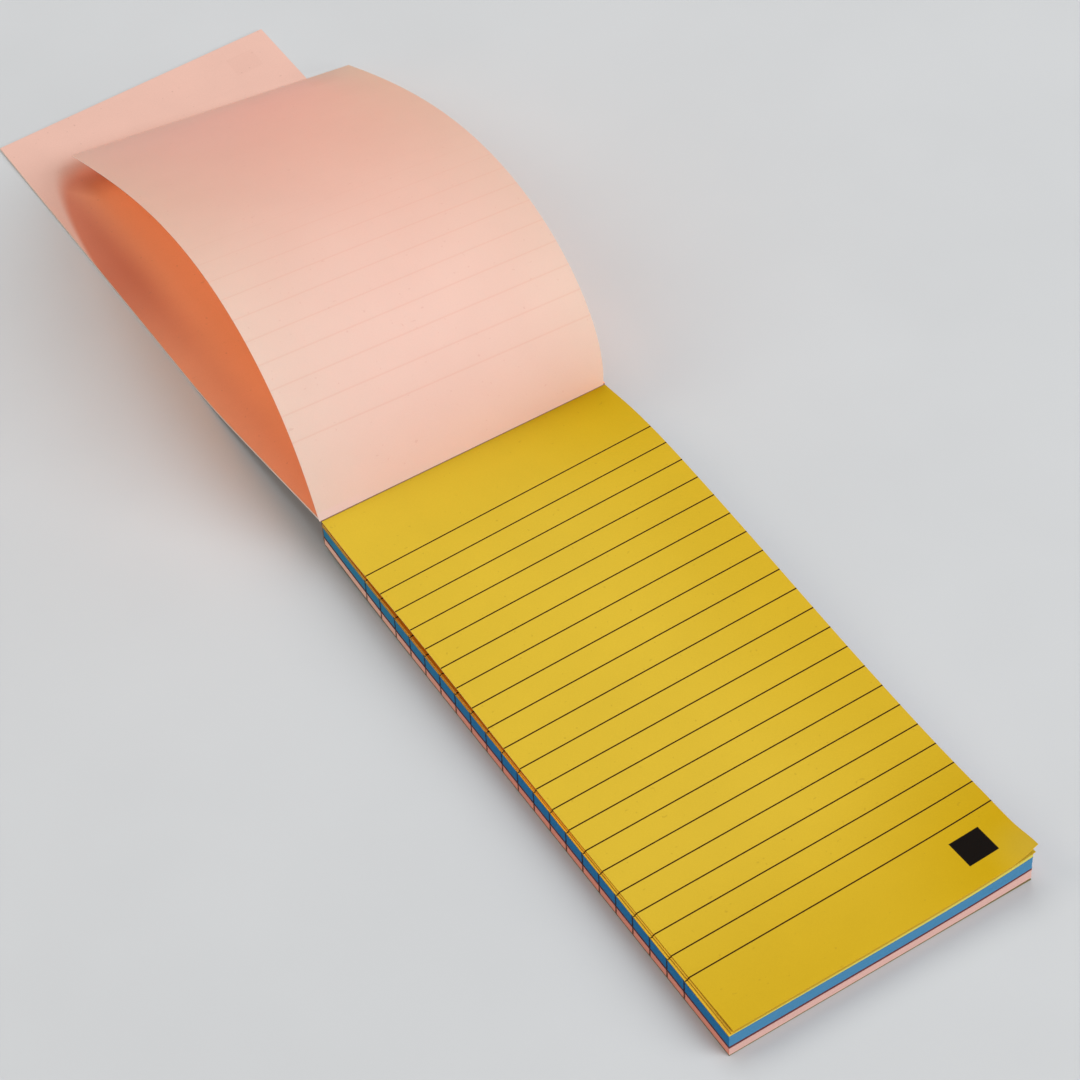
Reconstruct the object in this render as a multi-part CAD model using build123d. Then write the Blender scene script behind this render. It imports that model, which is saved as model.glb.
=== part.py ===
from build123d import *
from math import asin, cos, degrees, exp, radians, sin
import os

os.makedirs("parts", exist_ok=True)

# A slim pad of coloured pages, glued along one short edge, with a few sheets turned over that edge.
# X runs across the pad, Y from the free edge to the glued edge, Z up from the table.
# A place on a page is given by its share of the width, 0 at the left and 1 at the right, and by its
# run, the distance in mm from the free edge.

# Pages, close to a third of an A4 sheet
WIDTH = 99.0
LENGTH = 211.0
SEAT = 0.05
SECTION_GAP = 0.15

# Backing card
CARD_THICK = 0.3

# Sections of pages: thickness at the glue, where loose at the left and right, and what the free corner adds
PINK = (2.75, 2.95, 2.9, 0.8)
MAROON = (0.75, 0.75, 0.6, 0.0)
BLUE = (3.6, 4.0, 3.6, 1.2)
YELLOW = (1.4, 1.1, 1.5, 0.0)
LOOSE_POWER = 6

# The free right corner is thumbed up: how fast the lift fades across the pad and along it
CORNER_POWER_ACROSS = 5.5
CORNER_POWER_ALONG = 6.5
CORNER_GAP = 0.6
CORNER_LIFT = 2.5

# The glued end curls up from the table
CURL_START = 130.0
CURL_LEFT = 2.3
CURL_RIGHT = 0.3
CURL_POWER = 3

# Loose sheets on top, which slide to the right towards the free edge
SHEET_THICK = 0.2
SECOND_SLIDE = 0.8
TOP_SLIDE = 1.4
TOP_LEFT = (
    (0, 10.7),
    (20, 10.25),
    (75, 10.25),
    (105, 10.8),
    (135, 12.05),
    (160, 12.8),
    (195, 12.2),
    (LENGTH, 12.8),
)
TOP_RIGHT = (
    (0, 10.35),
    (20, 11.0),
    (45, 10.4),
    (75, 10.75),
    (105, 11.95),
    (135, 13.4),
    (160, 14.2),
    (180, 14.2),
    (195, 13.0),
    (LENGTH, 10.0),
)
TIP_RISE = 2.6
TIP_SPREAD = 5.0

# Film of glue on the glued end
GLUE_THICK = 0.5
GLUE_OVER = 0.25
GLUE_FOOT = 0.3

# Strip of a turned sheet that stays in the glue
BOUND_STRIP = 0.9

# Thin pack of pages turned over, which comes down to the table behind the pad
PACK_THICK = 0.8
PACK_ROOT_LEFT = 11.2
PACK_ROOT_RIGHT = 9.4
PACK_FALL_START = 50.0
PACK_FALL_END = 90.0
PACK_TURN = 0.6
PACK_SHIFT = 0.4
PACK_REST = 0.02

# Single sheet turned over in an arch: slopes in degrees, and the share of its length over which it bends
ARCH_THICK = 0.22
ARCH_ROOT_SLOPE_LEFT = 59.0
ARCH_ROOT_SLOPE_RIGHT = 94.0
ARCH_BEND_LEFT = 0.37
ARCH_BEND_RIGHT = 0.265
ARCH_POWER_LEFT = 1.6
ARCH_POWER_RIGHT = 1.06
ARCH_END_HEIGHT_LEFT = 8.9
ARCH_END_HEIGHT_RIGHT = 0.9
ARCH_DRIFT = 3.75
ARCH_SHIFT = -0.65
STEEPEST_END = -80.0
HALVINGS = 30

# Steps of the outlines and grids that the piles and the bent sheets go through
PILE_SHARES = (0.0, 0.4, 0.65, 0.8, 0.9, 1.0)
STATIONS = 10
ALONG_STEPS = 42
ACROSS_STEPS = 8
FINE_STEPS = 10

BOUND_Y = LENGTH / 2
GLUE_BACK_Y = BOUND_Y + GLUE_THICK
FREE_LENGTH = LENGTH - BOUND_STRIP


def mix(left, right, share):
    return left + (right - left) * share


def place(share, run, height, slide=0.0):
    """The point at a share of the width and a run along the pad."""
    x = mix(-WIDTH / 2, WIDTH / 2, share) + slide * (1 - run / LENGTH)
    return Vector(x, run - BOUND_Y, height)


def curl(share, run):
    """Height of the card's underside, which lifts towards the glued end."""
    past = max(0.0, run - CURL_START) / (LENGTH - CURL_START)
    return mix(CURL_LEFT, CURL_RIGHT, share) * past**CURL_POWER


def loose(run):
    """How loose the pages are, from 1 at the free edge to 0 at the glue."""
    return 1 - (run / LENGTH) ** LOOSE_POWER


def corner(share, run):
    """How much of the free right corner's lift is felt at a place."""
    return share**CORNER_POWER_ACROSS * (1 - run / LENGTH) ** CORNER_POWER_ALONG


def section_thickness(section, share, run):
    bound, loose_left, loose_right, at_corner = section
    return mix(bound, mix(loose_left, loose_right, share), loose(run)) + at_corner * corner(share, run)


def card_top(share, run):
    return curl(share, run) + CARD_THICK


def pink_floor(share, run):
    return card_top(share, run) + SECTION_GAP + CORNER_GAP * corner(share, run)


def pink_top(share, run):
    return pink_floor(share, run) + section_thickness(PINK, share, run)


def maroon_floor(share, run):
    return pink_top(share, run) + SECTION_GAP


def maroon_top(share, run):
    return maroon_floor(share, run) + section_thickness(MAROON, share, run)


def blue_floor(share, run):
    return maroon_top(share, run) + SECTION_GAP


def blue_top(share, run):
    return blue_floor(share, run) + section_thickness(BLUE, share, run)


def yellow_floor(share, run):
    return blue_top(share, run) + SECTION_GAP


def yellow_top(share, run):
    return yellow_floor(share, run) + section_thickness(YELLOW, share, run)


def second_floor(share, run):
    return yellow_top(share, run) + SECTION_GAP * loose(run) + SEAT


def through(stations, run):
    """A smooth height through a few stations, each a run and a height."""
    last = len(stations) - 1
    i = max(k for k in range(last) if stations[k][0] <= run)
    before = stations[max(i - 1, 0)]
    start = stations[i]
    end = stations[i + 1]
    after = stations[min(i + 2, last)]
    span = end[0] - start[0]
    slope_in = (end[1] - before[1]) / (end[0] - before[0]) * span
    slope_out = (after[1] - start[1]) / (after[0] - start[0]) * span
    q = (run - start[0]) / span
    rise = (3 - 2 * q) * q**2
    return mix(start[1], end[1], rise) + slope_in * q * (1 - q) ** 2 - slope_out * q**2 * (1 - q)


def top_floor(share, run):
    """Underside of the top sheet, bowed along the pad, with its free right corner turned up."""
    height = mix(through(TOP_LEFT, run), through(TOP_RIGHT, run), share)
    away = (run**2 + ((1 - share) * WIDTH) ** 2) / TIP_SPREAD**2
    return height + CORNER_LIFT * corner(share, run) + TIP_RISE * exp(-away)


def side_face(share, floor_at, top_at, start, end):
    """The outline of a pile of pages, cut along the pad at a share of the width."""
    runs = [start + (end - start) * k / STATIONS for k in range(STATIONS + 1)]
    low = [place(share, run, floor_at(share, run)) for run in runs]
    high = [place(share, run, top_at(share, run)) for run in runs]
    floor = Spline(low)
    back = Line(low[-1], high[-1])
    top = Spline(high)
    front = Line(low[0], high[0])
    return make_face([floor, back, top, front])


def pile(floor_at, top_at, start=0.0, end=LENGTH):
    outlines = [side_face(share, floor_at, top_at, start, end) for share in PILE_SHARES]
    return loft(outlines, ruled=True)


def bent_sheet(grid, thickness):
    """A sheet whose underside goes through a grid of points."""
    underside = Face.make_surface_from_array_of_points(grid, tol=0.005, min_deg=3, max_deg=5)
    if underside.normal_at().Z < 0:
        return Solid.thicken(underside, -thickness)
    return Solid.thicken(underside, thickness)


def sheet_over(floor_at, slide):
    end = LENGTH - SEAT
    grid = []
    for i in range(ACROSS_STEPS + 1):
        share = i / ACROSS_STEPS
        row = []
        for k in range(ALONG_STEPS + 1):
            run = mix(0, end, k / ALONG_STEPS)
            row.append(place(share, run, floor_at(share, run), slide))
        grid.append(row)
    return bent_sheet(grid, SHEET_THICK)


def walk(angle_at):
    """Forward and up from the root of an unstretched sheet, whose slope is given along its length."""
    step = FREE_LENGTH / ALONG_STEPS / FINE_STEPS
    path = [(0.0, 0.0)]
    forward = 0.0
    up = 0.0
    for k in range(ALONG_STEPS * FINE_STEPS):
        angle = radians(angle_at((k + 0.5) * step))
        forward += step * cos(angle)
        up += step * sin(angle)
        if (k + 1) % FINE_STEPS == 0:
            path.append((forward, up))
    return path


def make_back_card():
    """Thin card, flat where it rests and lifted with the pages at the glued end."""
    flat = Pos(0, CURL_START / 2 - BOUND_Y, CARD_THICK / 2) * Box(WIDTH, CURL_START, CARD_THICK)
    return flat + pile(curl, card_top, CURL_START)


def make_pink_pages():
    return pile(pink_floor, pink_top)


def make_maroon_pages():
    return pile(maroon_floor, maroon_top)


def make_blue_pages():
    return pile(blue_floor, blue_top)


def make_yellow_pages():
    return pile(yellow_floor, yellow_top)


def make_second_sheet():
    return sheet_over(second_floor, SECOND_SLIDE)


def make_top_sheet():
    return sheet_over(top_floor, TOP_SLIDE)


def glue_top(share):
    return top_floor(share, LENGTH) + SHEET_THICK + GLUE_OVER


def glue_section(share):
    """The film of glue at one side, with a round top edge."""
    foot = curl(share, LENGTH) + GLUE_FOOT
    radius = GLUE_THICK / 2
    shoulder = glue_top(share) - radius
    x = mix(-WIDTH / 2, WIDTH / 2, share)
    front_foot = Vector(x, BOUND_Y, foot)
    front_shoulder = Vector(x, BOUND_Y, shoulder)
    crown = Vector(x, BOUND_Y + radius, glue_top(share))
    back_shoulder = Vector(x, GLUE_BACK_Y, shoulder)
    back_foot = Vector(x, GLUE_BACK_Y, foot)
    front = Line(front_foot, front_shoulder)
    over = ThreePointArc(front_shoulder, crown, back_shoulder)
    back = Line(back_shoulder, back_foot)
    under = Line(back_foot, front_foot)
    return make_face([front, over, back, under])


def make_binding_glue():
    return loft([glue_section(0), glue_section(1)], ruled=True)


def pack_path(root_height):
    """The way of the turned pack, straight down from the glue and then flat on the table."""
    drop = root_height - PACK_REST
    ramp = degrees(asin(2 * drop / (PACK_FALL_START + PACK_FALL_END)))

    def angle_at(s):
        q = (s - PACK_FALL_START) / (PACK_FALL_END - PACK_FALL_START)
        q = min(1.0, max(0.0, q))
        return ramp * ((3 - 2 * q) * q**2 - 1)

    path = walk(angle_at)
    rest = path[-1][1]
    return [(forward, PACK_REST + up - rest) for forward, up in path]


def make_turned_pages():
    left = pack_path(PACK_ROOT_LEFT)
    right = pack_path(PACK_ROOT_RIGHT)
    turn = sin(radians(PACK_TURN))
    root_y = GLUE_BACK_Y + SEAT
    grid = []
    for i in range(ACROSS_STEPS + 1):
        share = i / ACROSS_STEPS
        row = []
        for (left_y, left_z), (right_y, right_z) in zip(left, right):
            forward = mix(left_y, right_y, share)
            x = mix(-WIDTH / 2, WIDTH / 2, share) + PACK_SHIFT - turn * forward
            row.append(Vector(x, root_y + forward, mix(left_z, right_z, share)))
        grid.append(row)
    return bent_sheet(grid, PACK_THICK)


def arch_path(root_slope, bend, power, rise):
    """The way of the arched sheet, whose slope fades from the one at the root to the one at its end.

    The end's slope is the one that brings the end to its height above the root.
    """
    low = STEEPEST_END
    high = root_slope
    for _ in range(HALVINGS):
        end = (low + high) / 2
        path = walk(lambda s: end + (root_slope - end) * exp(-((s / LENGTH / bend) ** power)))
        if path[-1][1] > rise:
            high = end
        else:
            low = end
    return path


def make_arched_sheet():
    left_rise = ARCH_END_HEIGHT_LEFT - glue_top(0) - SEAT
    right_rise = ARCH_END_HEIGHT_RIGHT - glue_top(1) - SEAT
    left = arch_path(ARCH_ROOT_SLOPE_LEFT, ARCH_BEND_LEFT, ARCH_POWER_LEFT, left_rise)
    right = arch_path(ARCH_ROOT_SLOPE_RIGHT, ARCH_BEND_RIGHT, ARCH_POWER_RIGHT, right_rise)
    across = sin(radians(ARCH_DRIFT))
    along = cos(radians(ARCH_DRIFT))
    root_y = BOUND_Y + GLUE_THICK / 2
    step = FREE_LENGTH / ALONG_STEPS
    grid = []
    for i in range(ACROSS_STEPS + 1):
        share = i / ACROSS_STEPS
        root_z = glue_top(share) + SEAT
        row = []
        for k, ((left_y, left_z), (right_y, right_z)) in enumerate(zip(left, right)):
            x = mix(-WIDTH / 2, WIDTH / 2, share) + ARCH_SHIFT + across * k * step
            y = root_y + along * mix(left_y, right_y, share)
            z = root_z + along * mix(left_z, right_z, share)
            row.append(Vector(x, y, z))
        grid.append(row)
    return bent_sheet(grid, ARCH_THICK)


export_step(make_back_card(), "parts/back_card.step")
export_step(make_pink_pages(), "parts/pink_pages.step")
export_step(make_maroon_pages(), "parts/maroon_pages.step")
export_step(make_blue_pages(), "parts/blue_pages.step")
export_step(make_yellow_pages(), "parts/yellow_pages.step")
export_step(make_second_sheet(), "parts/second_sheet.step")
export_step(make_top_sheet(), "parts/top_sheet.step")
export_step(make_binding_glue(), "parts/binding_glue.step")
export_step(make_turned_pages(), "parts/turned_pages.step")
export_step(make_arched_sheet(), "parts/arched_sheet.step")
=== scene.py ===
from math import asin, cos, degrees, exp, radians, sin
import random

import bpy
from mathutils import Matrix, Vector


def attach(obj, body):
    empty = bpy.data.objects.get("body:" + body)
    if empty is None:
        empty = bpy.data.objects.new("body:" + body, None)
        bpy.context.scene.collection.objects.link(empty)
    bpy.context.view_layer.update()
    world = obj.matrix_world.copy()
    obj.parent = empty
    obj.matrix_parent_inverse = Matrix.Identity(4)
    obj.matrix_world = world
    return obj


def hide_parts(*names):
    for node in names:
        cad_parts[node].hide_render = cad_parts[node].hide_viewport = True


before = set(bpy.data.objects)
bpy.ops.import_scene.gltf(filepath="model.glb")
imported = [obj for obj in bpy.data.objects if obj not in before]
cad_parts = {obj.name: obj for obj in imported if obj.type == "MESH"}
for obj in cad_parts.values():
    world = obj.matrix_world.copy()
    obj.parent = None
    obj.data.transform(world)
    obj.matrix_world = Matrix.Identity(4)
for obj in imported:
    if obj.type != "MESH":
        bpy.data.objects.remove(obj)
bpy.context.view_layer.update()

bl_info = {
    "name": "Notepad with turned sheets",
    "version": (1, 0, 0),
    "blender": (4, 5, 0),
    "location": "View3D > Sidebar > Notepad",
    "description": "Dresses a slim ruled notepad whose first sheets are turned over its glued edge",
    "category": "Object",
}

# Lengths are in mm here, and a run is the distance from the free edge along a page.
MM = 0.001

SEAT = 0.05
SECTION_GAP = 0.15
CARD_THICK = 0.3

# Each section's thickness at the glue and at the free edge's left and right, and its gain at the right corner
PINK = (2.75, 2.95, 2.9, 0.8)
MAROON = (0.75, 0.75, 0.6, 0.0)
BLUE = (3.8, 4.7, 3.9, 1.2)
YELLOW = (1.2, 0.4, 1.2, 0.0)
LOOSE_POWER = 6
CORNER_POWER_ACROSS = 5.5
CORNER_POWER_ALONG = 6.5
CORNER_GAP = 0.6
CORNER_LIFT = 2.5
CURL_START = 130.0
CURL_LEFT = 2.3
CURL_RIGHT = 0.3
CURL_POWER = 3

SHEET_THICK = 0.2
SECOND_SLIDE = 0.8
TOP_SLIDE = 1.4

# Runs and heights along the top sheet's left and right side
TOP_LEFT = (
    (0, 10.7),
    (20, 10.25),
    (75, 10.25),
    (105, 10.8),
    (135, 12.05),
    (160, 12.8),
    (195, 12.2),
    (211, 12.8),
)
TOP_RIGHT = (
    (0, 10.35),
    (20, 11.0),
    (45, 10.4),
    (75, 10.75),
    (105, 11.95),
    (135, 13.4),
    (160, 14.2),
    (180, 14.2),
    (195, 13.0),
    (211, 10.0),
)
TIP_RISE = 2.6
TIP_ALONG = 8.0
TIP_ACROSS = 4.0

GLUE_THICK = 0.5
GLUE_OVER = 0.25

BOUND_STRIP = 0.9

PACK_THICK = 0.8
PACK_ROOT_LEFT = 11.2
PACK_ROOT_RIGHT = 9.4
PACK_FALL_START = 50.0
PACK_FALL_END = 90.0
PACK_TURN = 0.6
PACK_SHIFT = 0.4
PACK_REST = 0.02

ARCH_THICK = 0.21
ARCH_ROOT_SLOPE_LEFT = 59.0
ARCH_ROOT_SLOPE_RIGHT = 94.0
ARCH_BEND_LEFT = 0.37
ARCH_BEND_RIGHT = 0.265
ARCH_POWER_LEFT = 1.6
ARCH_POWER_RIGHT = 1.06
ARCH_END_HEIGHT_LEFT = 8.9
ARCH_END_HEIGHT_RIGHT = 0.9
ARCH_DRIFT = 3.75
ARCH_SHIFT = -0.65

# How finely the pieces are divided, and how uneven the cut edges of the piles are
ACROSS = 24
ALONG = 84
SHEET_ALONG = 126
FINE = 5
RAGGED = 0.12
PACK_ACROSS = 16
PACK_ROWS = 3
PACK_RAGGED = 0.1
PACK_SEED = 7
PACK_LEAVES = 8

# The lowest slope that is tried for the end of the arch, and how often the range of slopes is halved
ARCH_LOWEST_SLOPE = -80.0
ARCH_HALVINGS = 30

# The lengths below are in metres.
PAGE_WIDTH = 0.099
PAGE_LENGTH = 0.211
FIRST_LINE = 0.02486
LINE_PITCH = 0.008285
LINE_WIDTH = 0.00044
LINE_COUNT = 21.0
LINE_SOFT = 0.00006
SHOWN_THROUGH_SOFT = 0.0002
TURNED_SOFT = 0.0003

PLATE_ACROSS = 0.08616
PLATE_RUN = 0.01118
PLATE_HALF_WIDTH = 0.00486
PLATE_HALF_LENGTH = 0.00453
PLATE_SKEW = 0.045
PLATE_RIM = (1.02, 0.98)

# The ends of the printed lines on the long sides of the piles
TICK_SHIFT = 0.0007
TICK_WIDEN = 1.6
TICK_SOFT = 0.00015
TICK_BREAKS = (0.35, 0.62, 0.7, 1.0)

# Ranges over a page. Each goes from one place to another, and some then from one amount to another.
# Painted sheen: the yellow sheets keep a paler tone where a sheen would lie and are painted a deeper yellow
# away from it.
SHEEN_FADE_RIGHT = (0.05, 0.099, 0.0, 0.42)
SHEEN_FADE_FREE = (0.06, 0.0, 0.0, 0.6)
SHEEN_FADE_GLUED = (0.165, 0.211, 0.0, 0.45)
SHEEN_FADE_GLUED_ACROSS = (-0.02, 0.099)
PALE_TIP_ACROSS = (0.084, 0.099)
PALE_TIP_RUN = (0.016, 0.001)
GLUED_SIDE = (0.11, 0.20)
# Painted shade: the left rims of the yellow pile and the loose sheet are painted orange-brown for the shade
# in the gap under the sheets above, most towards the glue.
GAP_SHADE_RUN = (0.05, 0.1, 0.2, 1.0)
PILE_GAP_SHADE_ACROSS = (0.004, 0.0015)
SHEET_GAP_SHADE_ACROSS = (0.005, 0.002)
# Painted shade: the sheets' long edges are painted a darker orange over the free half.
SHEET_EDGE_SHADE_RUN = (0.11, 0.07)
ARCH_PRINT_FADE = (0.07, 0.12, 1.0, 0.02)
# Painted shade: the arch's outside is painted darker and warmer towards its far end.
ARCH_FAR_SHADE_RUN = (0.195, 0.07)
# Painted shade: the arch's outside is painted darker over its right upper part.
ARCH_RIGHT_SHADE_ACROSS = (0.05, 0.125)
ARCH_RIGHT_SHADE_RUN = (0.19, 0.14, 0.0, 1.0)
ARCH_ROOT_BAND = (0.0030, 0.0018)
ARCH_ROOT_ACROSS = (0.022, 0.004)

# Where the arch stands over the turned pages, and where it is darker under it
COVER_START = 0.017
COVER_SLOPE = 0.21
COVER_BLUR = (-0.007, 0.006)
BAY_DEPTH = 0.048
BAY_RATE = -200.0
SHADE_ACROSS = (0.018, 0.006)
SHADE_RUN = (0.13, 0.07, 0.35, 1.0)
SHADE_END = (0.044, 0.028)

# Share of the light that goes through a single sheet, on its outer and its inner face
YELLOW_THIN = 0.08
YELLOW_THIN_BACK = 0.3
ARCH_THIN = 0.56
ARCH_THIN_INSIDE = 0.95

# Colours of single places, written the same way as the colours that a user can set
PINK_FACE = (0.84, 0.67, 0.63)
PINK_SIDE = (0.98, 0.63, 0.55)
PINK_SIDE_GLUED = (1.0, 0.79, 0.71)
BLUE_SIDE = (0.12, 0.47, 0.70)
BLUE_SIDE_GLUED = (0.17, 0.53, 0.69)
YELLOW_FRONT = (0.80, 0.76, 0.34)
YELLOW_SIDE = (0.80, 0.62, 0.12)
# Painted shade in the gaps under the raised sheets
YELLOW_GAP_SHADE = (0.93, 0.60, 0.10)
SHEET_GAP_SHADE = (0.92, 0.52, 0.08)
# The sheets' long edges: a pale cream that is partly the cut paper and partly a painted highlight, and a
# darker orange that is painted shade
SHEET_EDGE = (0.98, 0.90, 0.52)
SHEET_EDGE_SHADE = (0.78, 0.52, 0.10)
SHEET_FRONT_EDGE = (0.82, 0.66, 0.20)
YELLOW_GLOW = (0.98, 0.72, 0.10)
TURNED_SIDE = (0.96, 0.88, 0.83)
TURNED_INK = (0.70, 0.50, 0.44)
ARCH_EDGE = (0.98, 0.90, 0.86)
ARCH_INK = (0.80, 0.62, 0.54)

# Linear colours of the light under the arch and of the arched sheet, whose inner face carries a painted glow
# and whose far and right parts carry painted shade
COVER_LIT = (0.87, 0.435, 0.27, 1.0)
COVER_DARK = (0.56, 0.20, 0.125, 1.0)
ARCH_GLOW = (1.0, 0.60, 0.24, 1.0)
ARCH_OUTSIDE = (0.87, 0.985, 0.92, 1.0)
# Painted shade with a warm glow for the arch's far part
ARCH_FAR_SHADE = (0.785, 0.82, 0.75, 1.0)
# Painted shade for the arch's right upper part
ARCH_RIGHT_SHADE = (0.71, 0.81, 0.77, 1.0)
# Painted glow: the pink sheet's inner face is painted deep orange for the light that comes through it.
ARCH_INSIDE_GLOW = (0.95, 0.30, 0.12, 1.0)
ARCH_ROOT = (0.90, 0.98, 0.98, 1.0)

TABLE_HALF = 3.0
TABLE_CLOUD_SCALE = 9.0
TABLE_CLOUDS = (0.3, 0.7, 0.985, 1.015)
ROOM_COLOUR = (1.0, 0.965, 0.92, 1.0)
ROOM_STRENGTH = 0.35
LAMP_AIM = (0.0, 0.1, 0.0)

# Name, place, size, power and colour
LAMPS = (
    ("window", (1.8, -2.7, 2.4), 3.6, 165.0, (0.985, 0.99, 1.0)),
    ("fill", (0.4, 1.5, 2.7), 2.4, 37.0, (0.985, 0.99, 1.0)),
    ("warm_fill", (-2.0, 1.3, 2.2), 1.8, 18.0, (1.0, 0.87, 0.73)),
)

CAMERA_PLACE = (-0.32738, -0.52824, 0.81284)
CAMERA_AIM = (0.00461, 0.07249, 0.0)
CAMERA_TILT = -4.577
CAMERA_LENS = 120.162
CAMERA_SENSOR = 36.0


def mix(left, right, share):
    return left + (right - left) * share


def smooth(q):
    q = min(1.0, max(0.0, q))
    return (3 - 2 * q) * q * q


def curl(share, run):
    """How far the glued end stands off the table."""
    past = max(0.0, run - CURL_START) / (sizes().length / MM - CURL_START)
    return mix(CURL_LEFT, CURL_RIGHT, share) * past**CURL_POWER


def loose(run):
    """How loose the pages are, from 1 at the free edge to 0 at the glue."""
    return 1 - (run / (sizes().length / MM)) ** LOOSE_POWER


def corner(share, run):
    """How much of the free right corner's lift is felt at a place."""
    return share**CORNER_POWER_ACROSS * max(0.0, 1 - run / (sizes().length / MM)) ** CORNER_POWER_ALONG


def section_thickness(section, share, run):
    bound, loose_left, loose_right, at_corner = section
    return mix(bound, mix(loose_left, loose_right, share), loose(run)) + at_corner * corner(share, run)


def section_floor(sections, share, run):
    """Height under the last of these sections, which lie on each other from the card up."""
    height = curl(share, run) + CARD_THICK + CORNER_GAP * corner(share, run)
    for section in sections[:-1]:
        height += SECTION_GAP + section_thickness(section, share, run)
    return height + SECTION_GAP


def pages_top(share, run):
    pile = (PINK, MAROON, BLUE, YELLOW)
    return section_floor(pile, share, run) + section_thickness(YELLOW, share, run)


def second_floor(share, run):
    return pages_top(share, run) + SECTION_GAP * loose(run) + SEAT


def through(stations, run):
    """A smooth height through a few stations, each a run and a height."""
    last = len(stations) - 1
    i = max(k for k in range(last) if stations[k][0] <= run)
    before = stations[max(i - 1, 0)]
    start = stations[i]
    end = stations[i + 1]
    after = stations[min(i + 2, last)]
    span = end[0] - start[0]
    slope_in = (end[1] - before[1]) / (end[0] - before[0]) * span
    slope_out = (after[1] - start[1]) / (after[0] - start[0]) * span
    q = (run - start[0]) / span
    rise = (3 - 2 * q) * q**2
    return mix(start[1], end[1], rise) + slope_in * q * (1 - q) ** 2 - slope_out * q**2 * (1 - q)


def top_floor(share, run):
    height = mix(through(TOP_LEFT, run), through(TOP_RIGHT, run), share)
    away = (run / TIP_ALONG) ** 2 + ((1 - share) * sizes().width / MM / TIP_ACROSS) ** 2
    return height + CORNER_LIFT * corner(share, run) + TIP_RISE * exp(-away)


def glue_top(share):
    return top_floor(share, sizes().length / MM) + SHEET_THICK + GLUE_OVER


def walk(angle_at):
    """Forward and up from the root of an unstretched sheet, whose slope is given along its length."""
    step = (sizes().length / MM - BOUND_STRIP) / ALONG / FINE
    path = [(0.0, 0.0)]
    forward = 0.0
    up = 0.0
    for k in range(ALONG * FINE):
        angle = radians(angle_at((k + 0.5) * step))
        forward += step * cos(angle)
        up += step * sin(angle)
        if (k + 1) % FINE == 0:
            path.append((forward, up))
    return path


def pack_path(root_height):
    """The way of the turned pages, straight down from the glue and then flat on the table."""
    drop = root_height - PACK_REST
    ramp = degrees(asin(2 * drop / (PACK_FALL_START + PACK_FALL_END)))
    span = PACK_FALL_END - PACK_FALL_START
    path = walk(lambda s: ramp * (smooth((s - PACK_FALL_START) / span) - 1))
    rest = path[-1][1]
    return [(forward, PACK_REST + up - rest) for forward, up in path]


def arch_path(root_slope, bend, power, rise):
    """The way of the arched sheet, with the end slope that brings its end to a height above its root."""
    low = ARCH_LOWEST_SLOPE
    high = root_slope
    length = sizes().length / MM
    for _ in range(ARCH_HALVINGS):
        end = (low + high) / 2
        path = walk(lambda s: end + (root_slope - end) * exp(-((s / length / bend) ** power)))
        if path[-1][1] > rise:
            high = end
        else:
            low = end
    return path


def between(left, right, share, way):
    """Forward and up from the root at a share of the length, between the ways of a sheet's two sides."""
    step = way * ALONG
    i = min(int(step), ALONG - 1)
    q = step - i
    left_here = [mix(left[i][n], left[i + 1][n], q) for n in (0, 1)]
    right_here = [mix(right[i][n], right[i + 1][n], q) for n in (0, 1)]
    return [mix(left_here[n], right_here[n], share) for n in (0, 1)]


def sizes():
    return bpy.context.scene.notepad_sizes


def colours():
    return bpy.context.scene.notepad_colours


def linear(colour):
    """The linear values of a colour."""
    values = [c / 12.92 if c <= 0.04045 else ((c + 0.055) / 1.055) ** 2.4 for c in colour]
    return (*values[:3], 1.0)


# Meshes


def ring(across, along):
    """The grid's rim, once round, with which side each step lies on."""
    way = [(0, k, "left") for k in range(along)]
    way += [(i, along, "back") for i in range(across)]
    way += [(across, k, "right") for k in range(along, 0, -1)]
    way += [(i, 0, "front") for i in range(across, 0, -1)]
    return way


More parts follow.
